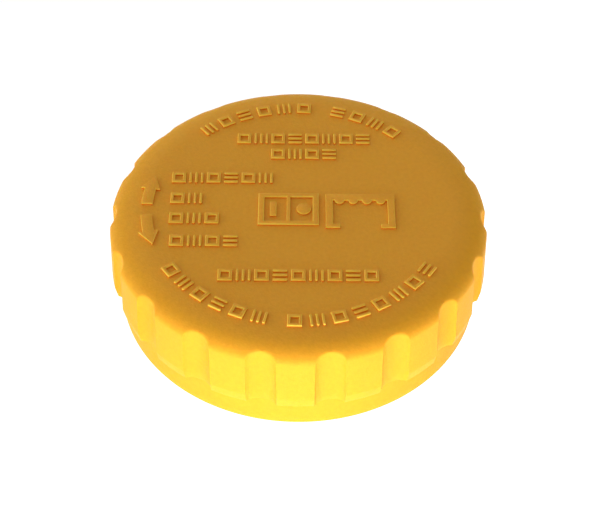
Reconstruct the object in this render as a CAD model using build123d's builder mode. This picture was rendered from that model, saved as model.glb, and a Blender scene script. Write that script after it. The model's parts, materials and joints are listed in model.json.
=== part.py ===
from build123d import *
import os
from math import cos, radians, sin

# Screw cap with a pressure and vacuum valve, for the neck of a coolant expansion tank.
# The origin is the centre of the valve insert's lower end, on which the cap stands.
# +Z points up through the top face, and the rows of marks on the top face run along X.

os.makedirs("parts", exist_ok=True)

# ---------------------------------------------------------------- driving dimensions, mm
# Cover: grip, crown and skirt
grip_r = 32.0  # over the grip pads at their lower edge
grip_top_r = 31.7  # over the pads where the crown begins
cover_height = 18.6  # rim to top face
insert_drop = 7.4  # the insert's lower end stands this far below the rim
crown_height = 2.9
crown_width = 6.4
pad_foot = 5.5  # rim to the pads' lower edge
pad_bevel_height = 2.1
pad_bevel_in = 0.4
band_r = 30.75  # plain band below the pads, at the rim
band_top_r = 30.4
flute_count = 18
flute_phase = -0.6  # degrees from +X to the first flute
flute_width = 5.1
flute_depth = 1.4
top_thickness = 2.2
skirt_bore_r = 28.4
rim_chamfer = 0.5

# Thread inside the skirt, for a neck with an outside thread of about 56 mm
thread_pitch = 4.0
thread_turns = 2.0
thread_crest_r = 27.0
thread_start = 1.9  # rim to the middle of the ridge's lower end
thread_root_width = 2.8  # where the ridge sinks into the skirt
thread_crest_width = 1.1
thread_embed = 0.4

# Under the cover's top: rib on the slip ring, and lugs that hold the insert
rib_outer_r = 27.0
rib_inner_r = 24.6
lug_count = 6
lug_inner_r = 27.3
lug_height = 1.1
lug_width = 7.0
steam_gap = 4.0  # width of the gaps in the rib

# Raised marks on the top face
relief_height = 0.5
stroke = 0.5
ring_stroke = 0.6
mark_size = 2.45
mark_pitch = 2.95
arc_mark_r = 25.0
arc_mark_pitch = 8.2  # degrees

# Valve insert
plug_r = 21.4
housing_bore_r = 18.0
flange_r = 27.8
flange_low = 20.2
flange_thickness = 1.8
shoulder_r = 23.2
face_seal_r = 26.6
face_seal_thickness = 1.6
collar_r = 23.6
collar_high = 22.9
lid_bore_r = 20.2
lid_ledge = 20.0
lid_thickness = 1.4
clip_groove_r = 21.0
clip_thickness = 0.7
o_ring_section = 2.6
o_ring_r = 20.9  # centre line of the neck O-ring
o_ring_height = 10.8
o_ring_groove = 3.2
floor_low = 3.2
floor_thickness = 2.0
seat_r = 11.0
swivel_gap = 0.15  # between the cover and the insert
fit_gap = 0.1  # around pieces that drop into the housing

# Valves
valve_gap = 0.02  # closed valve, seal to seat
seat_bore_r = 9.0
seat_flange_r = 13.0
seat_height = 6.6
seal_thickness = 1.6
plate_thickness = 1.0
plate_r = 14.6
plate_rim_height = 1.6
hub_r = 4.4
hub_bore_r = 2.6
hub_low = 5.6
hub_high = 10.6
spring_r = 12.0
spring_wire = 1.7
spring_turns = 3.75
spring_seat_thickness = 0.6
stem_r = 1.2
stem_running_gap = 0.05
stem_high = 16.0
stem_groove_low = 14.6
stem_clip_thickness = 0.6
vacuum_spring_r = 2.3
vacuum_spring_wire = 0.35
vacuum_spring_turns = 4.0

# ---------------------------------------------------------------- heights that follow
rim = insert_drop
top = rim + cover_height
inner_top = top - top_thickness
pad_low = rim + pad_foot
crown_low = top - crown_height
flange_high = flange_low + flange_thickness
lug_high = flange_low - swivel_gap
floor_high = floor_low + floor_thickness
lid_high = lid_ledge + lid_thickness
clip_groove_high = lid_high + clip_thickness + fit_gap
seal_low = seat_height + valve_gap
plate_low = seal_low + seal_thickness
plate_high = plate_low + plate_thickness
spring_seat_low = lid_ledge - spring_seat_thickness
beyond = 5.0  # how far a cutting tool runs past the material


def export(piece, name):
    """Label a finished piece and write it as its own file."""
    piece.part.label = name
    export_step(piece.part, f"parts/{name}.step")


def coil(centre_r, wire, turns, low, high):
    """Round-wire compression spring between two heights, with ground ends."""
    with BuildPart() as spring:
        with BuildLine() as path:
            Helix(
                pitch=(high - low) / turns,
                height=high - low,
                radius=centre_r,
                center=(0, 0, low),
            )
        with BuildSketch(Plane(origin=path.line @ 0, z_dir=path.line % 0)):
            Circle(wire / 2)
        sweep(is_frenet=True)
        split(bisect_by=Plane.XY.offset(low), keep=Keep.TOP)
        split(bisect_by=Plane.XY.offset(high), keep=Keep.BOTTOM)
    return spring


# ---------------------------------------------------------------- marks on the top face
# Words are rows of square blocks, straight or on an arc. The blocks are in turn a square ring,
# three bars across the row, a ring again, and three bars along the row.
bar_count = 3
bar_spacing = (mark_size - stroke) / (bar_count - 1)
ring_hole = mark_size - 2 * ring_stroke

# Straight words: (x of the middle, y of the middle, number of blocks)
straight_words = [
    (0.8, 17.0, 8),
    (0.8, 13.1, 4),
    (-13.0, 7.1, 6),
    (-18.9, 2.1, 2),
    (-17.4, -2.6, 3),
    (-15.6, -7.8, 4),
    (0.0, -15.4, 9),
]
# Words on the arc: (angle of the middle from +X in degrees, number of blocks)
arc_words = [(61.7, 4), (108.5, 6), (235.4, 6), (297.5, 8)]

# Two turning arrows at the left, one each way: (angle of the tail, angle of the tip)
arrows = [(178.5, 163.5), (184.5, 200.0)]
arrow_r = 25.4
arrow_width = 1.9
arrow_head_width = 3.3
arrow_head_angle = 6.8

# Two framed symbols in the middle: (x, y of the middle, width, height)
# Cabinet with two windows
cabinet_frame = (-1.7, -0.4, 10.2, 7.4)
cabinet_side = 1.1
cabinet_beam = 0.9
cabinet_middle = 0.6
cabinet_peg = (1.1, 3.2)
cabinet_disc_r = 1.2
# Tank with a wavy level under its lid, and feet turned in
tank_frame = (10.3, -0.8, 11.6, 7.8)
tank_wall = 1.2
tank_lid = 1.4
tank_foot = (2.4, 0.8)
wave_count = 4
wave_r = 0.8


def arc_point(radius, angle):
    """Point on a circle about the cap's axis."""
    return (radius * cos(radians(angle)), radius * sin(radians(angle)))


def block_places():
    """Every block: its number in its word, then its middle and its turn."""
    places = []
    for word_x, word_y, count in straight_words:
        for i in range(count):
            x = word_x + (i - (count - 1) / 2) * mark_pitch
            places.append((i, x, word_y, 0))
    for word_angle, count in arc_words:
        for i in range(count):
            angle = word_angle + (i - (count - 1) / 2) * arc_mark_pitch
            x, y = arc_point(arc_mark_r, angle)
            places.append((i, x, y, angle - 90))
    return places


with BuildSketch(Plane.XY.offset(top - relief_height)) as marks:
    for number, x, y, turn in block_places():
        with Locations(Location((x, y, 0), (0, 0, turn))):
            if number % 2 == 0:
                Rectangle(mark_size, mark_size)
                Rectangle(ring_hole, ring_hole, mode=Mode.SUBTRACT)
            elif number % 4 == 1:
                with GridLocations(bar_spacing, 0, bar_count, 1):
                    Rectangle(stroke, mark_size)
            else:
                with GridLocations(0, bar_spacing, 1, bar_count):
                    Rectangle(mark_size, stroke)
    for tail, tip in arrows:
        way = 1 if tip > tail else -1
        neck = tip - way * arrow_head_angle
        low_r = arrow_r - arrow_width / 2
        high_r = arrow_r + arrow_width / 2
        with BuildLine():
            Polyline(
                arc_point(low_r, neck),
                arc_point(arrow_r - arrow_head_width / 2, neck),
                arc_point(arrow_r, tip),
                arc_point(arrow_r + arrow_head_width / 2, neck),
                arc_point(high_r, neck),
            )
            ThreePointArc(
                arc_point(high_r, neck),
                arc_point(high_r, (neck + tail) / 2),
                arc_point(high_r, tail),
            )
            Line(arc_point(high_r, tail), arc_point(low_r, tail))
            ThreePointArc(
                arc_point(low_r, tail),
                arc_point(low_r, (neck + tail) / 2),
                arc_point(low_r, neck),
            )
        make_face()
    # Cabinet: an outline, its middle bar, a peg in one window and a disc in the other
    frame_x, frame_y, width, height = cabinet_frame
    with Locations((frame_x, frame_y)):
        Rectangle(width, height)
        Rectangle(width - 2 * cabinet_side, height - 2 * cabinet_beam, mode=Mode.SUBTRACT)
        Rectangle(cabinet_middle, height - cabinet_beam)
    with Locations((frame_x - width / 4, frame_y)):
        Rectangle(*cabinet_peg)
    with Locations((frame_x + width / 4, frame_y)):
        Circle(cabinet_disc_r)
    # Tank: two walls under a lid, waves hanging from the lid, and a foot on each wall
    frame_x, frame_y, width, height = tank_frame
    foot_length, foot_height = tank_foot
    wave_pitch = (width - 2 * tank_wall) / wave_count
    with Locations((frame_x, frame_y + (height - tank_lid) / 2)):
        Rectangle(width, tank_lid)
    with Locations((frame_x, frame_y)):
        with GridLocations(width - tank_wall, 0, 2, 1):
            Rectangle(tank_wall, height)
    with Locations((frame_x, frame_y + height / 2 - tank_lid)):
        with GridLocations(wave_pitch, 0, wave_count, 1):
            Circle(wave_r)
    with Locations((frame_x, frame_y - (height - foot_height) / 2)):
        with GridLocations(width - foot_length, 0, 2, 1):
            Rectangle(foot_length, foot_height)


# ---------------------------------------------------------------- cover
with BuildPart() as cap_cover:
    with BuildSketch(Plane.XZ):
        with BuildLine():
            crown = EllipticalCenterArc(
                (grip_top_r - crown_width, crown_low),
                crown_width,
                crown_height,
                start_angle=0,
                arc_size=90,
            )
            Polyline(
                crown @ 1,
                (0, top),
                (0, inner_top),
                (skirt_bore_r, inner_top),
                (skirt_bore_r, rim + rim_chamfer),
                (skirt_bore_r + rim_chamfer, rim),
                (band_r, rim),
                (band_top_r, pad_low),
                (grip_r - pad_bevel_in, pad_low),
                (grip_r, pad_low + pad_bevel_height),
                crown @ 0,
            )
        make_face()
    revolve(axis=Axis.Z)

    # Flutes between the pads, down to the plain band
    with BuildSketch(Plane.XY.offset(pad_low)):
        with PolarLocations(grip_r, flute_count, start_angle=flute_phase):
            Ellipse(flute_depth, flute_width / 2)
    extrude(amount=cover_height, mode=Mode.SUBTRACT)

    # Rib that presses on the slip ring, with gaps that let steam out
    with BuildSketch(Plane.XY.offset(collar_high)):
        Circle(rib_outer_r)
        Circle(rib_inner_r, mode=Mode.SUBTRACT)
        with PolarLocations((rib_outer_r + rib_inner_r) / 2, lug_count):
            Rectangle(2 * (rib_outer_r - rib_inner_r), steam_gap, mode=Mode.SUBTRACT)
    extrude(amount=inner_top - collar_high)

    # Lugs that the insert's flange snaps past
    with BuildSketch(Plane.XY.offset(lug_high - lug_height)):
        with PolarLocations(lug_inner_r, lug_count, start_angle=30):
            Rectangle(
                skirt_bore_r - lug_inner_r + thread_embed,
                lug_width,
                align=(Align.MIN, Align.CENTER),
            )
    extrude(amount=lug_height)

    # Marks on the top face
    add(marks.sketch)
    extrude(amount=2 * relief_height)

    # Thread: one ridge wound up the skirt's bore
    with BuildLine() as thread_path:
        Helix(
            pitch=thread_pitch,
            height=thread_pitch * thread_turns,
            radius=skirt_bore_r,
            center=(0, 0, rim + thread_start),
        )
    thread_plane = Plane(
        origin=thread_path.line @ 0, x_dir=(1, 0, 0), z_dir=thread_path.line % 0
    )
    with BuildSketch(thread_plane):
        with BuildLine():
            Polyline(
                (thread_embed, -thread_root_width / 2),
                (thread_crest_r - skirt_bore_r, -thread_crest_width / 2),
                (thread_crest_r - skirt_bore_r, thread_crest_width / 2),
                (thread_embed, thread_root_width / 2),
                close=True,
            )
        make_face()
    sweep(path=thread_path.line, is_frenet=True)
export(cap_cover, "cap_cover")


# ---------------------------------------------------------------- valve insert
with BuildPart() as valve_housing:
    with BuildSketch(Plane.XZ):
        with BuildLine():
            Polyline(
                (housing_bore_r, 0),
                (plug_r - 1.0, 0),
                (plug_r, 1.6),
                (plug_r, o_ring_height - o_ring_groove / 2),
                (o_ring_r - o_ring_section / 2, o_ring_height - o_ring_groove / 2),
                (o_ring_r - o_ring_section / 2, o_ring_height + o_ring_groove / 2),
                (plug_r, o_ring_height + o_ring_groove / 2),
                (plug_r, flange_low - 1.2),
                (shoulder_r, flange_low - 1.2),
                (shoulder_r, flange_low),
                (flange_r, flange_low),
                (flange_r, flange_high),
                (collar_r, flange_high),
                (collar_r, collar_high),
                (lid_bore_r, collar_high),
                (lid_bore_r, clip_groove_high),
                (clip_groove_r, clip_groove_high),
                (clip_groove_r, lid_high),
                (lid_bore_r, lid_high),
                (lid_bore_r, lid_ledge),
                (housing_bore_r, lid_ledge),
                (housing_bore_r, floor_high),
                (seat_r, floor_high),
                (seat_r, floor_low),
                (housing_bore_r, floor_low),
                close=True,
            )
        make_face()
    revolve(axis=Axis.Z)
export(valve_housing, "valve_housing")

# O-ring that seals the plug in the neck's smooth bore
with BuildPart() as neck_o_ring:
    with BuildSketch(Plane.XZ):
        with Locations((o_ring_r, o_ring_height)):
            Circle(o_ring_section / 2)
    revolve(axis=Axis.Z)
export(neck_o_ring, "neck_o_ring")

# Flat seal under the flange, which lands on the neck's end
with BuildPart() as face_seal:
    with BuildSketch(Plane.XY.offset(flange_low - face_seal_thickness)):
        Circle(face_seal_r)
        Circle(shoulder_r, mode=Mode.SUBTRACT)
    extrude(amount=face_seal_thickness)
export(face_seal, "face_seal")

# Low-friction ring between the flange and the cover's rib, so that the insert stays still
# in the neck while the cover is turned
with BuildPart() as slip_ring:
    with BuildSketch(Plane.XY.offset(flange_high)):
        Circle(rib_outer_r + 0.3)
        Circle(collar_r + 0.4, mode=Mode.SUBTRACT)
    extrude(amount=collar_high - swivel_gap - flange_high)
export(slip_ring, "slip_ring")

# Perforated disc that keeps scale out of the valves
screen_low = 0.6
screen_thickness = 1.2
screen_hole_r = 1.2
screen_row_pitch = 4.4
with BuildPart() as inlet_screen:
    with BuildSketch(Plane.XY.offset(screen_low)):
        Circle(housing_bore_r)
        Circle(screen_hole_r, mode=Mode.SUBTRACT)
        for row in range(1, 4):
            with PolarLocations(row * screen_row_pitch, 6 * row):
                Circle(screen_hole_r, mode=Mode.SUBTRACT)
    extrude(amount=screen_thickness)
export(inlet_screen, "inlet_screen")

# Rubber washer under the valve seat
gasket_thickness = 0.4
with BuildPart() as seat_gasket:
    with BuildSketch(Plane.XY.offset(floor_high)):
        Circle(seat_flange_r)
        Circle(seat_r, mode=Mode.SUBTRACT)
    extrude(amount=gasket_thickness)
export(seat_gasket, "seat_gasket")

# Valve seat pressed into the floor, with a narrow nose that the rubber closes on
seat_flange_thickness = 0.5
nose_inner_r = 9.5
nose_outer_r = 10.3
seat_flange_low = floor_high + gasket_thickness
seat_flange_high = seat_flange_low + seat_flange_thickness
with BuildPart() as seat_ring:
    with BuildSketch(Plane.XZ):
        with BuildLine():
            Polyline(
                (seat_bore_r, floor_low),
                (seat_r, floor_low),
                (seat_r, seat_flange_low),
                (seat_flange_r, seat_flange_low),
                (seat_flange_r, seat_flange_high),
                (nose_outer_r + 0.2, seat_flange_high),
                (nose_outer_r, seat_height),
                (nose_inner_r, seat_height),
                (seat_bore_r, seat_flange_high),
                close=True,
            )
        make_face()
    revolve(axis=Axis.Z)
export(seat_ring, "seat_ring")

# Lid that closes the housing over the main spring, with vents and a pivot boss
lid_r = lid_bore_r - fit_gap
vent_r = 1.4
vent_circle_r = 16.2
vent_count = 8
boss_r = 4.0
with BuildPart() as housing_lid:
    with BuildSketch(Plane.XY.offset(lid_ledge)):
        Circle(lid_r)
        with PolarLocations(vent_circle_r, vent_count):
            Circle(vent_r, mode=Mode.SUBTRACT)
    extrude(amount=lid_thickness)
    with BuildSketch(Plane.XY.offset(lid_high)):
        Circle(boss_r)
    extrude(amount=inner_top - swivel_gap - lid_high)
    chamfer(housing_lid.faces().sort_by(Axis.Z)[-1].edges(), 0.6)
export(housing_lid, "housing_lid")

# Circlip in the collar's groove that holds the lid down against the spring
clip_inner_r = 19.4
clip_outer_r = clip_groove_r - fit_gap
clip_ear_r = 1.3
clip_ear_hole_r = 0.6
clip_ear_centre_r = 19.2
clip_ear_angle = 9.0
with BuildPart() as lid_clip:
    with BuildSketch(Plane.XY.offset(lid_high)):
        Circle(clip_outer_r)
        Circle(clip_inner_r, mode=Mode.SUBTRACT)
        with Locations((clip_outer_r, 0)):
            Rectangle(
                4 * clip_ear_r,
                2 * clip_ear_centre_r * sin(radians(clip_ear_angle)),
                mode=Mode.SUBTRACT,
            )
        for side in (-1, 1):
            with Locations(arc_point(clip_ear_centre_r - 0.4, side * clip_ear_angle)):
                Circle(clip_ear_r)
                Circle(clip_ear_hole_r, mode=Mode.SUBTRACT)
    extrude(amount=clip_thickness)
export(lid_clip, "lid_clip")

# Pressed steel seat for the spring's upper end, with a lip inside the coils
seat_lip_r = 11.0
seat_lip_thickness = 0.6
seat_lip_height = 1.4
with BuildPart() as spring_seat:
    with BuildSketch(Plane.XZ):
        with BuildLine():
            Polyline(
                (seat_lip_r - seat_lip_thickness, spring_seat_low - seat_lip_height),
                (seat_lip_r, spring_seat_low - seat_lip_height),
                (seat_lip_r, spring_seat_low),
                (plate_r - 0.4, spring_seat_low),
                (plate_r - 0.4, lid_ledge),
                (seat_lip_r - seat_lip_thickness, lid_ledge),
                close=True,
            )
        make_face()
    revolve(axis=Axis.Z)
export(spring_seat, "spring_seat")


# ---------------------------------------------------------------- pressure valve
# Dished plate: a flat disc, an upturned rim around the spring and a hub for the stem
with BuildPart() as pressure_plate:
    with BuildSketch(Plane.XZ):
        with BuildLine():
            Polyline(
                (hub_bore_r, hub_low),
                (hub_r, hub_low),
                (hub_r, plate_low),
                (plate_r, plate_low),
                (plate_r, plate_high + plate_rim_height),
                (plate_r - plate_thickness, plate_high + plate_rim_height),
                (plate_r - plate_thickness, plate_high),
                (hub_r, plate_high),
                (hub_r, hub_high),
                (hub_bore_r, hub_high),
                close=True,
            )
        make_face()
    revolve(axis=Axis.Z)
export(pressure_plate, "pressure_plate")

with BuildPart() as pressure_seal:
    with BuildSketch(Plane.XY.offset(seal_low)):
        Circle(seat_flange_r)
        Circle(hub_r, mode=Mode.SUBTRACT)
    extrude(amount=seal_thickness)
export(pressure_seal, "pressure_seal")

# Ring pressed on the hub that holds the seal up against the plate
retainer_r = 7.6
retainer_thickness = 0.8
with BuildPart() as seal_retainer:
    with BuildSketch(Plane.XY.offset(seal_low - retainer_thickness)):
        Circle(retainer_r)
        Circle(hub_r, mode=Mode.SUBTRACT)
    extrude(amount=retainer_thickness)
    chamfer(seal_retainer.faces().sort_by(Axis.Z)[0].edges().sort_by(SortBy.RADIUS)[-1], 0.3)
export(seal_retainer, "seal_retainer")

# Bush in the top of the hub that guides the stem, slotted so that air can pass
guide_depth = 1.6
guide_flange_r = 4.2
guide_flange_thickness = 0.6
guide_slot_width = 0.9
guide_slot_start_r = 1.8
guide_high = hub_high + guide_flange_thickness
with BuildPart() as stem_guide:
    with BuildSketch(Plane.XY.offset(hub_high - guide_depth)):
        Circle(hub_bore_r)
    extrude(amount=guide_depth)
    with BuildSketch(Plane.XY.offset(hub_high)):
        Circle(guide_flange_r)
    extrude(amount=guide_flange_thickness)
    with BuildSketch(Plane.XY.offset(hub_high - guide_depth)):
        Circle(stem_r + stem_running_gap)
        with PolarLocations(guide_slot_start_r, 4):
            Rectangle(
                guide_flange_r,
                guide_slot_width,
                align=(Align.MIN, Align.CENTER),
            )
    extrude(amount=guide_depth + guide_flange_thickness, mode=Mode.SUBTRACT)
export(stem_guide, "stem_guide")

pressure_spring = coil(spring_r, spring_wire, spring_turns, plate_high, spring_seat_low)
export(pressure_spring, "pressure_spring")


# ---------------------------------------------------------------- vacuum valve
# Mushroom: a disc under the hub, its stem up through the guide, and a groove for the clip
vacuum_disc_r = 4.8
vacuum_disc_thickness = 1.0
vacuum_seal_thickness = 1.0
stem_groove_r = 0.9
stem_chamfer = 0.4
vacuum_seal_low = hub_low - valve_gap - vacuum_seal_thickness
vacuum_disc_low = vacuum_seal_low - vacuum_disc_thickness
stem_groove_high = stem_groove_low + stem_clip_thickness
with BuildPart() as vacuum_poppet:
    with BuildSketch(Plane.XZ):
        with BuildLine():
            Polyline(
                (0, vacuum_disc_low),
                (vacuum_disc_r, vacuum_disc_low),
                (vacuum_disc_r, vacuum_seal_low),
                (stem_r, vacuum_seal_low),
                (stem_r, stem_groove_low),
                (stem_groove_r, stem_groove_low),
                (stem_groove_r, stem_groove_high),
                (stem_r, stem_groove_high),
                (stem_r, stem_high - stem_chamfer),
                (stem_r - stem_chamfer, stem_high),
                (0, stem_high),
                close=True,
            )
        make_face()
    revolve(axis=Axis.Z)
export(vacuum_poppet, "vacuum_poppet")

with BuildPart() as vacuum_seal:
    with BuildSketch(Plane.XY.offset(vacuum_seal_low)):
        Circle(vacuum_disc_r - 0.2)
        Circle(stem_r, mode=Mode.SUBTRACT)
    extrude(amount=vacuum_seal_thickness)
export(vacuum_seal, "vacuum_seal")

# Spring clip in the stem's groove
stem_clip_r = 3.1
with BuildPart() as stem_clip:
    with BuildSketch(Plane.XY.offset(stem_groove_low)):
        Circle(stem_clip_r)
        Circle(stem_groove_r, mode=Mode.SUBTRACT)
        Rectangle(
            stem_clip_r + 1,
            1.2 * stem_groove_r,
            align=(Align.MIN, Align.CENTER),
            mode=Mode.SUBTRACT,
        )
    extrude(amount=stem_clip_thickness)
export(stem_clip, "stem_clip")

vacuum_spring = coil(
    vacuum_spring_r, vacuum_spring_wire, vacuum_spring_turns, guide_high, stem_groove_low
)
export(vacuum_spring, "vacuum_spring")
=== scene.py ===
import json
from math import asin, cos, hypot, pi, radians, sin

import bmesh
import bpy
import numpy as np
from mathutils import Matrix, Vector


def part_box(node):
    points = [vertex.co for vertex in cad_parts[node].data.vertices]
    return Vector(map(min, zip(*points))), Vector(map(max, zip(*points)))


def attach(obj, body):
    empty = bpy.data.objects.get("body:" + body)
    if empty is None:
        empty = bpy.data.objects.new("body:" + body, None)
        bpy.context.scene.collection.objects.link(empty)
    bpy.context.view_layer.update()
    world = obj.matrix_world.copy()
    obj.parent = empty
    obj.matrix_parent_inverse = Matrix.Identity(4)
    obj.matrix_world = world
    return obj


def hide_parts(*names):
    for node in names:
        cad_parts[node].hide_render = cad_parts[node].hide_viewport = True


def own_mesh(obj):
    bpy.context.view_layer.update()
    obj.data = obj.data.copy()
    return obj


# Looks of a coolant expansion tank cap: an amber-yellow fluted screw cap, lit from below by a
# bright table, with its black valve insert, seals and springs.

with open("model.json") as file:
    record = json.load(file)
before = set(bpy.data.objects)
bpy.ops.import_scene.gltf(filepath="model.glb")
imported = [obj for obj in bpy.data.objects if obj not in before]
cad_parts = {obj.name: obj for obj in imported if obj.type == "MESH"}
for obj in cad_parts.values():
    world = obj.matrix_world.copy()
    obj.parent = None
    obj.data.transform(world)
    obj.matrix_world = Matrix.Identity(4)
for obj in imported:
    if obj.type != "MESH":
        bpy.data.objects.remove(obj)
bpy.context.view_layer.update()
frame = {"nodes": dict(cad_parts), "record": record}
MM = 0.001

# ---------------------------------------------------------------- sizes, in millimetres
# Read from the frame
cover_low, cover_high = (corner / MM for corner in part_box("cap_cover"))
collar_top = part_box("valve_housing")[1].z / MM
rim = cover_low.z
grip_r = cover_high.y

# Cover: grip, crown and skirt
relief = 0.5
top = cover_high.z - relief
crown_height = 2.9
crown_width = 6.4
crown_low = top - crown_height
crown_steps = 18
grip_top_r = grip_r - 0.3
pad_low = rim + 5.5
pad_bevel_height = 2.1
pad_bevel_in = 0.4
band_r = 30.75
band_top_r = 30.4
skirt_bore_r = 28.4
inner_top = top - 2.2
flute_count = 18
flute_phase = radians(-0.6)
flute_width = 5.1
flute_depth = 1.4
flute_edge_softness = 0.1
flute_taper_in = 0.15
flute_taper_height = 0.6
longest_step = 1.2  # between two rows of the pads or the skirt

# Thread, lugs and rib inside the skirt
thread_pitch = 4.0
thread_turns = 2
thread_low = rim + 1.9
thread_rise = 1.4
thread_root_half = 1.27
thread_crest_half = 0.55
thread_run_out = 0.06  # of a turn
thread_first_row = rim + 0.7
thread_row_step = 0.26
lug_count = 6
lug_inner_r = 27.3
lug_high = 20.05
lug_low = lug_high - 1.1
lug_half_angle = asin(3.5 / lug_inner_r)
lug_edge = 0.12
lug_lead_in = 0.25
rib_outer_r = 27.0
rib_inner_r = 24.6
rib_low = collar_top
rib_gap_half_angle = asin(2.0 / 25.8)
rib_edge = 0.08
inner_corner = 0.5
inner_corner_middle = 0.15
end_angle = radians(0.8)  # over which the lugs and the rib's gaps fade at their ends
step_gap = 0.05  # between two rows where the wall steps in or out
edge_gap = 0.04  # the same at the upper end of a lug and at the rib's foot

# Raised marks
stroke = 0.5
ring_stroke = 0.6
mark_size = 2.45
mark_pitch = 2.95
arc_mark_r = 25.0
arc_mark_pitch = 8.2
mark_foot = 0.3  # how deep a mark is sunk into the top face before they are joined
mark_draft = 0.04
mark_steps = 2  # in the soft edge of a mark

# Springs
wire_sides = 16
steps_per_turn = 56


# ---------------------------------------------------------------- mesh helpers
sharp_angle = radians(40)


def link_mesh(name, points, faces):
    """Make an object from points in millimetres, smooth except at its sharp edges."""
    mesh = bpy.data.meshes.new(name)
    mesh.from_pydata((np.asarray(points, float) * MM).tolist(), [], faces)
    mesh.validate()
    piece = bpy.data.objects.new(name, mesh)
    bpy.context.scene.collection.objects.link(piece)
    shade(mesh)
    return piece


def shade(mesh):
    """Smooth shading, with sharp edges where faces meet at more than the sharp angle."""
    mesh.polygons.foreach_set("use_smooth", [True] * len(mesh.polygons))
    mesh.set_sharp_from_angle(angle=sharp_angle)
    mesh.update()


def rounded(corners, steps=4):
    """Profile through corners given as (r, z, fillet radius), with each fillet as a short arc."""
    line = []
    count = len(corners)
    for i, (r, z, fillet) in enumerate(corners):
        here = Vector((r, z))
        if fillet == 0 or i in (0, count - 1):
            line.append((r, z))
            continue
        back = (Vector(corners[i - 1][:2]) - here).normalized()
        ahead = (Vector(corners[i + 1][:2]) - here).normalized()
        half = back.angle(ahead) / 2
        reach = fillet / np.tan(half)
        middle = here + (back + ahead).normalized() * (fillet / np.sin(half))
        start = here + back * reach - middle
        end = here + ahead * reach - middle
        for k in range(steps + 1):
            spoke = start.slerp(end, k / steps) * fillet
            line.append(tuple(middle + spoke))
    return line


def densify(line, longest):
    """Add points to a profile so that no step is longer than a length."""
    dense = [line[0]]
    for a, b in zip(line, line[1:]):
        parts = max(1, int(np.ceil(hypot(b[0] - a[0], b[1] - a[1]) / longest)))
        for k in range(1, parts + 1):
            t = k / parts
            dense.append((a[0] + (b[0] - a[0]) * t, a[1] + (b[1] - a[1]) * t))
    return dense


def grid_faces(rows, columns, closed_rows):
    """Quads of a grid whose columns close on themselves, and whose rows may do so too."""
    faces = []
    for j in range(rows if closed_rows else rows - 1):
        a = j * columns
        b = (j + 1) % rows * columns
        for i in range(columns):
            n = (i + 1) % columns
            faces.append((a + i, a + n, b + n, b + i))
    return faces


def join_meshes(base, tools):
    """Join tools into base as one closed skin, and drop the tools."""
    for tool in tools:
        change = base.modifiers.new("join", "BOOLEAN")
        change.operation = "UNION"
        change.solver = "MANIFOLD"
        change.object = tool
    graph = bpy.context.evaluated_depsgraph_get()
    result = bpy.data.meshes.new_from_object(base.evaluated_get(graph))
    base.modifiers.clear()
    base.data = result
    for tool in tools:
        bpy.data.objects.remove(tool)
    return base


# ---------------------------------------------------------------- cover
def soft_min(a, b, softness):
    """The smaller of two values, rounded off where they cross."""
    near = np.maximum(softness - np.abs(a - b), 0) / softness
    return np.minimum(a, b) - near * near * softness / 4


def smooth_step(low, high, value):
    """0 below low, 1 above high, and smooth between them."""
    t = np.clip((value - low) / (high - low), 0, 1)
    return t * t * (3 - 2 * t)


def from_nearest(angles, count, first=0.0):
    """Signed angle from the nearest of count evenly spaced directions."""
    pitch = 2 * pi / count
    return (angles - first + pitch / 2) % pitch - pitch / 2


def flute_wall(angles):
    """Radius of the scoops' wall at each angle, and far out where there is no scoop."""
    off = from_nearest(angles, flute_count, flute_phase)
    inside = 1 - (grip_r * np.sin(off) / (flute_width / 2)) ** 2
    wall = (grip_r - flute_depth * np.sqrt(np.maximum(inside, 0))) / np.cos(off)
    return np.where(inside > 0, wall, 2 * grip_r)


def thread_ridge(angles, z):
    """How far the thread's ridge stands into the bore at each angle and one height."""
    share = angles % (2 * pi) / (2 * pi)
    turn = np.clip(np.round((z - thread_low) / thread_pitch - share), 0, thread_turns - 1)
    along = share + turn
    off = np.abs(z - thread_low - thread_pitch * along)
    ridge = smooth_step(-thread_root_half, -thread_crest_half, -off)
    fade_in = smooth_step(0, thread_run_out, along)
    fade_out = smooth_step(-thread_turns, thread_run_out - thread_turns, -along)
    return thread_rise * ridge * fade_in * fade_out


def cover_columns():
    """Angles of the cover's columns, close together at the edges between flutes and pads."""
    half_flute = asin(flute_width / 2 / grip_r)
    edge = radians(0.4)  # to either side of a flute's edge
    pitch = 2 * pi / flute_count
    flute_columns, edge_columns, pad_columns = 17, 7, 9
    inside = np.sin(np.linspace(-pi / 2, pi / 2, flute_columns)) * (half_flute - edge)
    first_edge = np.linspace(half_flute - edge, half_flute + edge, edge_columns)[1:]
    pad = np.linspace(half_flute + edge, pitch - half_flute - edge, pad_columns)[1:]
    pad_end = pitch - half_flute
    second_edge = np.linspace(pad_end - edge, pad_end + edge, edge_columns)[1:-1]
    one = np.concatenate([inside, first_edge, pad, second_edge])
    return np.concatenate([one + k * pitch for k in range(flute_count)]) + flute_phase


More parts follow.
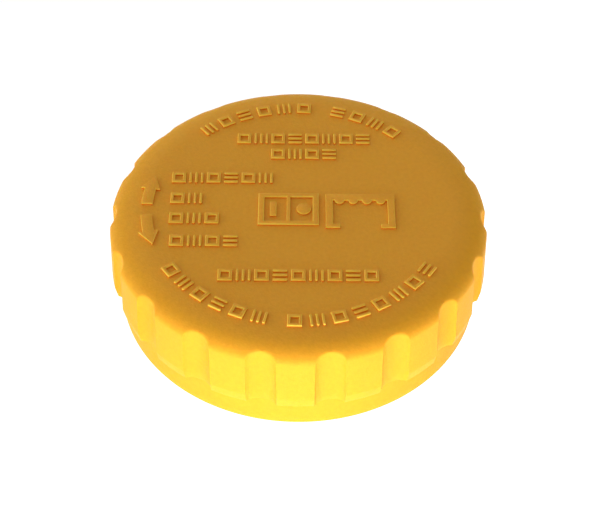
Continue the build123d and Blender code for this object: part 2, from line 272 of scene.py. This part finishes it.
def cover_rows(angles):
    """Radius and height of every row of the cover's skin, from the top face round to its inside."""
    rows = []

    def add(r, z):
        rows.append((r + 0 * angles, z + 0 * angles))

    def fluted(r, z, taper=0.0):
        add(soft_min(r + 0 * angles, flutes - taper, flute_edge_softness), z)

    flutes = flute_wall(angles)
    for k in range(crown_steps + 1):
        lean = pi / 2 * (1 - k / crown_steps)
        r = grip_top_r - crown_width + crown_width * cos(lean)
        fluted(r, crown_low + crown_height * sin(lean))
    pads = rounded(
        [
            (grip_top_r, crown_low, 0),
            (grip_r, pad_low + pad_bevel_height, 0.2),
            (grip_r - pad_bevel_in, pad_low, 0.1),
            (band_top_r, pad_low, 0),
        ]
    )
    for r, z in densify(pads, longest_step)[1:]:
        taper = flute_taper_in * (1 - smooth_step(pad_low, pad_low + flute_taper_height, z))
        fluted(r, z, taper)
    skirt = rounded(
        [
            (band_top_r, pad_low - step_gap, 0),
            (band_r, rim, 0.45),
            (skirt_bore_r, rim, 0.6),
            (skirt_bore_r, thread_low, 0),
        ],
        steps=5,
    )
    for r, z in densify(skirt, longest_step)[:-1]:
        add(r, z)
    for z in np.arange(thread_first_row, lug_low - 2 * step_gap, thread_row_step):
        add(skirt_bore_r - thread_ridge(angles, z), z)
    off = np.abs(from_nearest(angles, lug_count, radians(30)))
    lug = smooth_step(-lug_half_angle - end_angle, -lug_half_angle, -off)
    lug_face = np.minimum(lug_inner_r / np.cos(off), skirt_bore_r)
    lugged = skirt_bore_r + (lug_face - skirt_bore_r) * lug
    add(skirt_bore_r, lug_low)
    add(lugged + lug_edge * lug, lug_low + step_gap)
    add(lugged, lug_low + lug_lead_in)
    add(lugged, lug_high - lug_edge)
    add(lugged + lug_edge * lug, lug_high)
    add(skirt_bore_r, lug_high + edge_gap)
    add(skirt_bore_r, inner_top - inner_corner)
    add(skirt_bore_r - inner_corner_middle, inner_top - inner_corner_middle)
    add(skirt_bore_r - inner_corner, inner_top)
    off = np.abs(from_nearest(angles, lug_count))
    gap = smooth_step(-rib_gap_half_angle - end_angle, -rib_gap_half_angle, -off)
    foot = rib_low + (inner_top - step_gap - rib_low) * gap
    add(rib_outer_r + step_gap, inner_top)
    add(rib_outer_r, foot + edge_gap)
    add(rib_outer_r - rib_edge, foot)
    add(rib_inner_r + rib_edge, foot)
    add(rib_inner_r, foot + edge_gap)
    add(rib_inner_r - step_gap, inner_top)
    return rows


def cover_skin():
    """The cover's body as one closed skin."""
    angles = cover_columns()
    rows = cover_rows(angles)
    points = np.concatenate(
        [np.stack([r * np.cos(angles), r * np.sin(angles), z], -1) for r, z in rows]
    )
    columns = len(angles)
    faces = [tuple(reversed(face)) for face in grid_faces(len(rows), columns, False)]
    faces.append(tuple(range(columns)))
    last = (len(rows) - 1) * columns
    faces.append(tuple(reversed(range(last, last + columns))))
    return link_mesh("cap_cover_skin", points, faces)


# ---------------------------------------------------------------- raised marks
def softened(form, edges, soft):
    """Points and faces of a form once some of its edges are made soft."""
    bmesh.ops.bevel(
        form, geom=edges, offset=soft, segments=mark_steps, profile=0.5, affect="EDGES"
    )
    form.verts.index_update()
    points = np.array([v.co for v in form.verts])
    faces = [tuple(v.index for v in f.verts) for f in form.faces]
    form.free()
    return points, faces


def bevelled(width, depth, height, soft=0.18):
    """Points and faces of a bar standing on z = 0, with draft on its sides and soft upper edges."""
    form = bmesh.new()
    bmesh.ops.create_cube(form, size=1.0)
    for v in form.verts:
        v.co.x *= width
        v.co.y *= depth
        v.co.z = (v.co.z + 0.5) * height
        if v.co.z > 0:
            v.co.x -= np.sign(v.co.x) * mark_draft
            v.co.y -= np.sign(v.co.y) * mark_draft
    upper = [e for e in form.edges if any(v.co.z > height / 2 for v in e.verts)]
    return softened(form, upper, soft)


def placed(points, x, y, turn):
    """Points turned about the vertical by degrees and set down at a place on the top face."""
    c, s = cos(radians(turn)), sin(radians(turn))
    moved = np.array(points)
    moved[:, 0] = points[:, 0] * c - points[:, 1] * s + x
    moved[:, 1] = points[:, 0] * s + points[:, 1] * c + y
    moved[:, 2] += top - mark_foot
    return moved


def joined(name, solids):
    """One object from several separate closed solids, each given as points and faces."""
    points = []
    faces = []
    start = 0
    for solid_points, solid_faces in solids:
        points.append(solid_points)
        faces += [tuple(i + start for i in face) for face in solid_faces]
        start += len(solid_points)
    return link_mesh(name, np.concatenate(points), faces)


def polar(radius, degrees_from_x):
    """Point on a circle about the axis."""
    return radius * cos(radians(degrees_from_x)), radius * sin(radians(degrees_from_x))


# Straight words: (x of the middle, y of the middle, number of blocks)
straight_words = [
    (0.8, 17.0, 8),
    (0.8, 13.1, 4),
    (-13.0, 7.1, 6),
    (-18.9, 2.1, 2),
    (-17.4, -2.6, 3),
    (-15.6, -7.8, 4),
    (0.0, -15.4, 9),
]
# Words on the arc: (angle of the middle from +X in degrees, number of blocks)
arc_words = [(61.7, 4), (108.5, 6), (235.4, 6), (297.5, 8)]

# Two turning arrows: (angle of the tail, angle of the tip)
arrows = [(178.5, 163.5), (184.5, 200.0)]
arrow_r = 25.4
arrow_width = 1.9
arrow_head_width = 3.3
arrow_head_angle = 6.8
arrow_bend_points = 9

# Two framed symbols, a cabinet and a tank: (x, y of the middle, width, height)
cabinet_frame = (-1.7, -0.4, 10.2, 7.4)
cabinet_side = 1.1
cabinet_beam = 0.9
cabinet_middle = 0.6
cabinet_peg = (1.1, 3.2)
cabinet_disc_r = 1.2
tank_frame = (10.3, -0.8, 11.6, 7.8)
tank_wall = 1.2
tank_lid = 1.4
tank_foot = (2.4, 0.8)
wave_count = 4
wave_r = 0.8
hair = 0.02  # keeps two faces of the tank out of one plane


def block_places():
    """Every block: its number in its word, then its middle and its turn."""
    places = []
    for word_x, word_y, count in straight_words:
        for i in range(count):
            x = word_x + (i - (count - 1) / 2) * mark_pitch
            places.append((i, x, word_y, 0))
    for word_angle, count in arc_words:
        for i in range(count):
            angle = word_angle + (i - (count - 1) / 2) * arc_mark_pitch
            places.append((i, *polar(arc_mark_r, angle), angle - 90))
    return places


def frame_ring(width, depth, side, beam, height, soft=0.16):
    """Rectangular frame standing on z = 0, with draft on its walls and soft upper edges."""
    profile = [
        (0, 0, 0),
        (0, mark_draft, height - soft),
        (0, mark_draft + soft / 3, height - soft / 3),
        (0, mark_draft + soft, height),
        (1, -mark_draft - soft, height),
        (1, -mark_draft - soft / 3, height - soft / 3),
        (1, -mark_draft, height - soft),
        (1, 0, 0),
    ]
    points = []
    for right, back in ((1, -1), (1, 1), (-1, 1), (-1, -1)):
        for inner, off, z in profile:
            x = width / 2 - inner * side - off
            y = depth / 2 - inner * beam - off
            points.append((right * x, back * y, z))
    faces = [tuple(reversed(face)) for face in grid_faces(4, len(profile), True)]
    return np.array(points), faces


def block_marks():
    """The rows of blocks that stand in place of lettering: a ring, or three bars either way."""
    height = relief + mark_foot
    spacing = (mark_size - stroke) / 2
    ring = [(frame_ring(mark_size, mark_size, ring_stroke, ring_stroke, height), 0, 0)]
    upright = [(bevelled(stroke, mark_size, height), k * spacing, 0) for k in (-1, 0, 1)]
    level = [(bevelled(mark_size, stroke, height), 0, k * spacing) for k in (-1, 0, 1)]
    kinds = (ring, upright, ring, level)
    solids = []
    for number, x, y, turn in block_places():
        for (points, faces), across, along in kinds[number % len(kinds)]:
            solids.append((placed(points + np.array([across, along, 0]), x, y, turn), faces))
    return joined("block_marks", solids)


def prism(outline, height, soft=0.11):
    """Closed solid over an outline, with soft upper edges."""
    form = bmesh.new()
    floor = [form.verts.new((x, y, 0)) for x, y in outline]
    face = form.faces.new(floor)
    if face.normal.z > 0 or face.calc_area() == 0:
        face.normal_flip()
    face.normal_update()
    raised = bmesh.ops.extrude_face_region(form, geom=[face])["geom"]
    lifted = [v for v in raised if isinstance(v, bmesh.types.BMVert)]
    for v in lifted:
        v.co.z = height
    form.faces.ensure_lookup_table()
    if not any(set(f.verts) == set(floor) for f in form.faces):
        form.faces.new(floor)
    bmesh.ops.recalc_face_normals(form, faces=form.faces)
    rim_edges = [e for e in form.edges if all(v.co.z > height / 2 for v in e.verts)]
    return softened(form, rim_edges, soft)


def arrow_outline(tail, tip):
    """Outline of an arrow bent round the axis, from its tail's angle to its tip's."""
    way = 1 if tip > tail else -1
    neck = tip - way * arrow_head_angle
    bend = np.linspace(tail, neck, arrow_bend_points)
    outline = [polar(arrow_r - arrow_width / 2, a) for a in bend]
    outline.append(polar(arrow_r - arrow_head_width / 2, neck))
    outline.append(polar(arrow_r, tip))
    outline.append(polar(arrow_r + arrow_head_width / 2, neck))
    outline += [polar(arrow_r + arrow_width / 2, a) for a in bend[::-1]]
    return outline


def rectangle(x, y, width, height):
    """Outline of a rectangle about its middle."""
    w, h = width / 2, height / 2
    return [(x - w, y - h), (x + w, y - h), (x + w, y + h), (x - w, y + h)]


def lifted(solid):
    """A solid standing on z = 0, set onto the top face."""
    points, faces = solid
    return placed(points, 0, 0, 0), faces


def symbol_marks():
    """The two arrows and the two framed symbols, in groups whose own solids don't meet."""
    height = relief + mark_foot

    def block(*place):
        return lifted(prism(rectangle(*place), height))

    def disc(x, y, r):
        turns = np.arange(0, 2 * pi, pi / 16)
        return lifted(prism([(x + r * cos(a), y + r * sin(a)) for a in turns], height))

    apart = [lifted(prism(arrow_outline(*arrow), height)) for arrow in arrows]
    x, y, w, h = cabinet_frame
    points, faces = frame_ring(w, h, cabinet_side, cabinet_beam, height)
    apart.append((placed(points, x, y, 0), faces))
    apart += [block(x - w / 4, y, *cabinet_peg), disc(x + w / 4, y, cabinet_disc_r)]
    upright = [block(x, y, cabinet_middle, h - cabinet_beam)]
    x, y, w, h = tank_frame
    apart.append(block(x, y + (h - tank_lid) / 2, w, tank_lid))
    foot_length, foot_height = tank_foot
    foot_x = (w - foot_length) / 2
    apart += [block(x + k * foot_x, y - (h - foot_height) / 2, *tank_foot) for k in (-1, 1)]
    wall_y = y - (tank_lid - foot_height) / 4
    wall_height = h - (tank_lid + foot_height) / 2
    side = (w - tank_wall) / 2 - hair
    upright += [block(x + k * side, wall_y, tank_wall, wall_height) for k in (-1, 1)]
    pitch = (w - 2 * tank_wall) / wave_count
    crests = (np.arange(wave_count) - (wave_count - 1) / 2) * pitch
    upright += [disc(x + k, y + h / 2 - tank_lid, wave_r) for k in crests]
    return [joined("marks_apart", apart), joined("marks_upright", upright)]


cover = cover_skin()
join_meshes(cover, [block_marks(), *symbol_marks()])
shade(cover.data)
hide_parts("cap_cover")
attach(cover, "cover")


# ---------------------------------------------------------------- springs
def coil(name, mean_r, wire, turns, low, high):
    """Round-wire compression spring with closed, ground ends between two heights."""
    around, along = wire_sides, int(turns * steps_per_turn)
    share = np.linspace(0, 1, along + 1)
    ground = 0.3 * wire  # from the ground face to the wire's centre at an end
    centre_low, centre_high = low + ground, high - ground
    closing = 0.8  # how far the pitch drops at the ends
    climb = share - closing * np.sin(2 * pi * share) / (2 * pi)
    height = centre_low + (centre_high - centre_low) * climb
    angle = share * turns * 2 * pi
    lean = np.arange(around) * 2 * pi / around
    r = mean_r + wire / 2 * np.cos(lean)[None, :]
    z = np.clip(height[:, None] + wire / 2 * np.sin(lean)[None, :], low, high)
    points = np.stack([r * np.cos(angle)[:, None], r * np.sin(angle)[:, None], z], -1)
    faces = [tuple(reversed(face)) for face in grid_faces(along + 1, around, False)]
    faces.append(tuple(range(around)))
    faces.append(tuple(reversed(range(along * around, (along + 1) * around))))
    return link_mesh(name, points.reshape(-1, 3), faces)


def spring(node, body, mean_r, wire, turns):
    """A coil in place of a CAD spring, between the heights of the CAD spring and carried by a body.
    """
    low, high = (corner.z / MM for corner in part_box(node))
    piece = coil(node + "_coil", mean_r, wire, turns, low, high)
    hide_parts(node)
    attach(piece, body)
    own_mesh(piece)
    return piece


spring_pieces = [
    spring(
        "pressure_spring",
        "valve_insert",
        mean_r=12.0,
        wire=1.7,
        turns=3.75,
    ),
    spring(
        "vacuum_spring",
        "pressure_valve",
        mean_r=2.3,
        wire=0.35,
        turns=4.0,
    ),
]


# ---------------------------------------------------------------- materials
class Paint:
    """A material being made: its shader and short ways to add nodes to it."""

    def __init__(self, name, metallic=0.0, specular=0.5):
        self.material = bpy.data.materials.new(name)
        self.material.use_nodes = True
        self.tree = self.material.node_tree
        self.shader = self.tree.nodes["Principled BSDF"]
        self.shader.inputs["Metallic"].default_value = metallic
        self.shader.inputs["Specular IOR Level"].default_value = specular
        self.place = self.tree.nodes.new("ShaderNodeTexCoord").outputs["Object"]

    def link(self, source, target):
        self.tree.links.new(source, target)

    def noise(self, scale, detail=2.0, stretch=None):
        """Noise over the object, at a number of features per metre, perhaps stretched."""
        node = self.tree.nodes.new("ShaderNodeTexNoise")
        node.inputs["Scale"].default_value = scale
        node.inputs["Detail"].default_value = detail
        source = self.place
        if stretch:
            mapping = self.tree.nodes.new("ShaderNodeMapping")
            mapping.inputs["Scale"].default_value = stretch
            self.link(source, mapping.inputs["Vector"])
            source = mapping.outputs["Vector"]
        self.link(source, node.inputs["Vector"])
        return node.outputs["Fac"]

    def rings(self, scale):
        """Fine turning marks about the vertical axis, broken up a little."""
        node = self.tree.nodes.new("ShaderNodeTexWave")
        node.wave_type = "RINGS"
        node.rings_direction = "Z"
        node.inputs["Scale"].default_value = scale
        node.inputs["Distortion"].default_value = 1.5
        node.inputs["Detail"].default_value = 2
        self.link(self.place, node.inputs["Vector"])
        return node.outputs["Fac"]

    def spread(self, source, low, high, source_low=0.3, source_high=0.7):
        """Remap a value to a range."""
        node = self.tree.nodes.new("ShaderNodeMapRange")
        node.inputs["From Min"].default_value = source_low
        node.inputs["From Max"].default_value = source_high
        node.inputs["To Min"].default_value = low
        node.inputs["To Max"].default_value = high
        self.link(source, node.inputs["Value"])
        return node.outputs["Result"]

    def colours(self, source, stops):
        """Colour by a value, from (position, colour) stops."""
        ramp = self.tree.nodes.new("ShaderNodeValToRGB")
        elements = ramp.color_ramp.elements
        while len(elements) < len(stops):
            elements.new(0.5)
        for element, (position, colour) in zip(elements, stops):
            element.position = position
            element.color = (*colour, 1)
        self.link(source, ramp.inputs["Fac"])
        return ramp.outputs["Color"]

    def multiply(self, one, other):
        """Product of two colours."""
        node = self.tree.nodes.new("ShaderNodeMix")
        node.data_type = "RGBA"
        node.blend_type = "MULTIPLY"
        node.inputs["Factor"].default_value = 1
        self.link(one, node.inputs["A"])
        self.link(other, node.inputs["B"])
        return node.outputs["Result"]

    def height(self, low, high):
        """How far up the surface is between two heights in millimetres, from 0 to 1."""
        node = self.tree.nodes.new("ShaderNodeSeparateXYZ")
        self.link(self.place, node.inputs["Vector"])
        return self.spread(node.outputs["Z"], 0, 1, low * MM, high * MM)

    def bump(self, layers):
        """Stack bumps, given as (height, strength, depth in millimetres)."""
        normal = None
        for source, strength, depth in layers:
            node = self.tree.nodes.new("ShaderNodeBump")
            node.inputs["Strength"].default_value = strength
            node.inputs["Distance"].default_value = depth * MM
            self.link(source, node.inputs["Height"])
            if normal:
                self.link(normal, node.inputs["Normal"])
            normal = node.outputs["Normal"]
        self.link(normal, self.shader.inputs["Normal"])

    def subsurface(self, weight, radius, scale):
        """Let light into the plastic, with a radius per colour and a depth in millimetres."""
        self.shader.inputs["Subsurface Weight"].default_value = weight
        self.shader.inputs["Subsurface Radius"].default_value = radius
        self.shader.inputs["Subsurface Scale"].default_value = scale * MM


def shades(colour, amount):
    """Two stops a little darker and a little lighter than a colour."""
    darker = tuple(c * (1 - amount) for c in colour)
    lighter = tuple(min(c * (1 + amount), 1) for c in colour)
    return [(0.3, darker), (0.7, lighter)]


def amber_plastic():
    """Translucent amber-yellow plastic, with painted shade at the feet of the marks, a painted
    highlight on their upper parts and a painted glow, a deeper yellow, below the top face.
    """
    paint = Paint("cover_plastic", specular=0.05)
    cloud = paint.colours(paint.noise(1500, detail=8), shades(cover_colour, 0.045))
    # Painted shade and highlight by height up the marks: deep orange-red painted shade at their
    # feet, and a painted highlight lighter than the plate on their upper parts. Below the marks the
    # colour stays at the first stop.
    painted_mark_shade_and_highlight = [
        (0.05, (0.9, 0.71, 0.56)),
        (0.13, (0.76, 0.2, 0.02)),
        (0.32, (0.83, 0.34, 0.1)),
        (0.5, (0.97, 0.85, 0.65)),
        (0.62, (1.0, 1.13, 1.0)),
        (0.96, (1.0, 1.06, 1.0)),
        (1.0, (0.93, 0.74, 0.6)),
    ]
    painted_mark_light = paint.colours(paint.height(top, top + relief), painted_mark_shade_and_highlight)
    glow_tint_depth = 0.7  # how far below the top face the painted glow reaches full strength
    painted_glow_stops = [(0.0, (1.0, 1.0, 0.66)), (1.0, (1.0, 1.0, 1.0))]
    # Painted glow: below the top face the crown and skirt get a deeper yellow that stands in for
    # light shining through the plastic.
    depth = paint.colours(paint.height(top - glow_tint_depth, top), painted_glow_stops)
    colour = paint.multiply(paint.multiply(cloud, painted_mark_light), depth)
    paint.link(colour, paint.shader.inputs["Base Color"])
    grain = paint.noise(2600, 3)
    paint.link(paint.spread(grain, 0.42, 0.6), paint.shader.inputs["Roughness"])
    paint.bump([(paint.noise(420, 1), 0.07, 0.03), (grain, 0.9, 0.045)])
    paint.subsurface(weight=0.35, radius=(1.0, 0.35, 0.08), scale=0.45)
    return paint.material


def moulded(name, colour, roughness, grain_scale, depth, specular=0.5):
    """Moulded plastic or rubber with a slightly cloudy colour and a fine grain."""
    paint = Paint(name, specular=specular)
    cloud = paint.colours(paint.noise(120, 4), shades(colour, 0.12))
    paint.link(cloud, paint.shader.inputs["Base Color"])
    grain = paint.noise(grain_scale, 3)
    gloss = paint.spread(grain, roughness - 0.1, roughness + 0.1)
    paint.link(gloss, paint.shader.inputs["Roughness"])
    paint.bump([(paint.noise(400, 1), 0.1, 0.03), (grain, 0.4, depth)])
    return paint


def drawing_marks(paint):
    """Marks along drawn wire."""
    return paint.noise(5000, 2, (0.15, 0.15, 1))


def rolling_marks(paint):
    """Fine marks of rolled sheet."""
    return paint.noise(3500, 4)


def turning_marks(paint):
    """Rings left by turning."""
    return paint.rings(900)


def metal(name, colour, roughness, marks):
    """Metal whose gloss and surface follow its working marks."""
    paint = Paint(name, metallic=1.0)
    source = marks(paint)
    tint = paint.colours(paint.noise(200, 3), shades(colour, 0.06))
    paint.link(tint, paint.shader.inputs["Base Color"])
    gloss = paint.spread(source, roughness - 0.07, roughness + 0.1)
    paint.link(gloss, paint.shader.inputs["Roughness"])
    paint.bump([(source, 0.3, 0.006), (paint.noise(900, 2), 0.15, 0.008)])
    return paint.material


def give(piece, material):
    """Give a piece one material."""
    piece.data.materials.clear()
    piece.data.materials.append(material)


cover_colour = (0.98, 0.565, 0.073)
black_colour = (0.03, 0.03, 0.032)
white_colour = (0.8, 0.78, 0.71)
rubber_colour = (0.017, 0.017, 0.018)
spring_colour = (0.5, 0.5, 0.5)
steel_colour = (0.62, 0.61, 0.59)
brass_colour = (0.78, 0.55, 0.2)

white = moulded("white_plastic", white_colour, roughness=0.42, grain_scale=2200, depth=0.02)
white.subsurface(weight=0.25, radius=(1.0, 0.9, 0.8), scale=0.8)
slot_materials = {
    "cover_plastic": amber_plastic(),
    "housing_plastic": moulded(
        "housing_plastic", black_colour, roughness=0.48, grain_scale=3000, depth=0.03
    ).material,
    "white_plastic": white.material,
    "seal_rubber": moulded(
        "seal_rubber", rubber_colour, roughness=0.55, grain_scale=1800, depth=0.012, specular=0.4
    ).material,
    "spring_steel": metal("spring_steel", spring_colour, roughness=0.3, marks=drawing_marks),
    "stainless_steel": metal(
        "stainless_steel", steel_colour, roughness=0.26, marks=rolling_marks
    ),
    "brass": metal("brass", brass_colour, roughness=0.24, marks=turning_marks),
}
new_pieces = {
    "cap_cover": cover,
    "pressure_spring": spring_pieces[0],
    "vacuum_spring": spring_pieces[1],
}
for part in frame["record"]["subparts"]:
    piece = new_pieces.get(part["node"]) or frame["nodes"][part["node"]]
    give(piece, slot_materials[part["material_slot"]])


# ---------------------------------------------------------------- stage, light and camera
table_r = 3.0  # metres
table_side = (0.6, -1, 0)  # where the table is brightest
table_fade = 70
table_dim = 1.03
table_bright = 1.6
horizon_glow = 1.4
ceiling_glow = 0.475
fade_low = 0.05  # sine of the height above the horizon where the light starts to fade
fade_high = 0.6
brighter_side = (-0.62, -0.08, 0)
low_light_width = 110
low_light_height = 10
low_light_r = 110
low_light_z = 5
low_light_aim_z = 15
camera_elevation = 46.38
camera_distance = 271.0
camera_roll = 0.38
camera_lens = 94.7
aim_right = 0.28
aim_down = 1.46


def bright_table():
    """Round table that glows, so that it looks white and lights the cap from below."""
    form = bmesh.new()
    bmesh.ops.create_circle(form, cap_ends=True, segments=128, radius=table_r)
    mesh = bpy.data.meshes.new("table")
    form.to_mesh(mesh)
    form.free()
    table = bpy.data.objects.new("table", mesh)
    bpy.context.scene.collection.objects.link(table)
    material = bpy.data.materials.new("table_light")
    material.use_nodes = True
    shader = material.node_tree.nodes["Principled BSDF"]
    shader.inputs["Base Color"].default_value = (0, 0, 0, 1)
    shader.inputs["Specular IOR Level"].default_value = 0
    shader.inputs["Emission Color"].default_value = (1, 1, 0.99, 1)
    nodes, links = material.node_tree.nodes, material.node_tree.links
    where = nodes.new("ShaderNodeTexCoord")
    side = nodes.new("ShaderNodeVectorMath")
    side.operation = "DOT_PRODUCT"
    side.inputs[1].default_value = table_side
    links.new(where.outputs["Object"], side.inputs[0])
    fade = nodes.new("ShaderNodeMapRange")
    fade.inputs["From Min"].default_value = -table_fade * MM
    fade.inputs["From Max"].default_value = table_fade * MM
    fade.inputs["To Min"].default_value = table_dim
    fade.inputs["To Max"].default_value = table_bright
    links.new(side.outputs["Value"], fade.inputs["Value"])
    links.new(fade.outputs["Result"], shader.inputs["Emission Strength"])
    mesh.materials.append(material)


def low_light(name, turn, strength):
    """Long low lamp beside the cap, shining in just above the table."""
    data = bpy.data.lights.new(name, "AREA")
    data.shape = "RECTANGLE"
    data.size = low_light_width * MM
    data.size_y = low_light_height * MM
    data.energy = strength
    lamp = bpy.data.objects.new(name, data)
    place = Matrix.Rotation(radians(turn), 3, "Z") @ Vector((0, -low_light_r, low_light_z))
    lamp.location = place * MM
    aim = Vector((0, 0, low_light_aim_z)) - place
    lamp.rotation_euler = aim.to_track_quat("-Z", "Y").to_euler()
    lamp.visible_camera = False
    bpy.context.scene.collection.objects.link(lamp)


def room_light():
    """Soft light that fades from the horizon up to the ceiling, and is brighter on one side."""
    world = bpy.data.worlds.new("room")
    world.use_nodes = True
    bpy.context.scene.world = world
    nodes, links = world.node_tree.nodes, world.node_tree.links
    where = nodes.new("ShaderNodeTexCoord")
    split = nodes.new("ShaderNodeSeparateXYZ")
    links.new(where.outputs["Generated"], split.inputs["Vector"])
    fade = nodes.new("ShaderNodeMapRange")
    fade.interpolation_type = "SMOOTHSTEP"
    fade.inputs["From Min"].default_value = fade_low
    fade.inputs["From Max"].default_value = fade_high
    fade.inputs["To Min"].default_value = horizon_glow
    fade.inputs["To Max"].default_value = ceiling_glow
    links.new(split.outputs["Z"], fade.inputs["Value"])
    side = nodes.new("ShaderNodeVectorMath")
    side.operation = "DOT_PRODUCT"
    side.inputs[1].default_value = brighter_side
    links.new(where.outputs["Generated"], side.inputs[0])
    lean = nodes.new("ShaderNodeMath")
    lean.operation = "ADD"
    lean.inputs[1].default_value = 1
    links.new(side.outputs["Value"], lean.inputs[0])
    total = nodes.new("ShaderNodeMath")
    total.operation = "MULTIPLY"
    links.new(fade.outputs["Result"], total.inputs[0])
    links.new(lean.outputs["Value"], total.inputs[1])
    links.new(total.outputs["Value"], nodes["Background"].inputs["Strength"])
    nodes["Background"].inputs["Color"].default_value = (1, 1, 1, 1)


def place_camera():
    """Camera about 46 degrees above the cap's front, far back with a long lens."""
    elevation = radians(camera_elevation)
    roll = Matrix.Rotation(radians(camera_roll), 3, "Z")
    aim = Vector((0, 0, rim + (top - rim) / 2))
    back = Vector((0, -cos(elevation), sin(elevation)))
    up = Vector((0, sin(elevation), cos(elevation)))
    eye = aim + back * camera_distance
    look = aim + Vector((1, 0, 0)) * aim_right - up * aim_down
    turn = (look - eye).to_track_quat("-Z", "Y").to_matrix() @ roll
    data = bpy.data.cameras.new("camera")
    data.lens = camera_lens
    data.sensor_width = 36
    data.clip_start = 0.01
    camera = bpy.data.objects.new("camera", data)
    camera.matrix_world = Matrix.Translation(eye * MM) @ turn.to_4x4()
    bpy.context.scene.collection.objects.link(camera)
    bpy.context.scene.camera = camera


bright_table()
low_light("light_front", turn=0, strength=0.078)
room_light()
place_camera()
bpy.context.scene.view_settings.view_transform = "Standard"
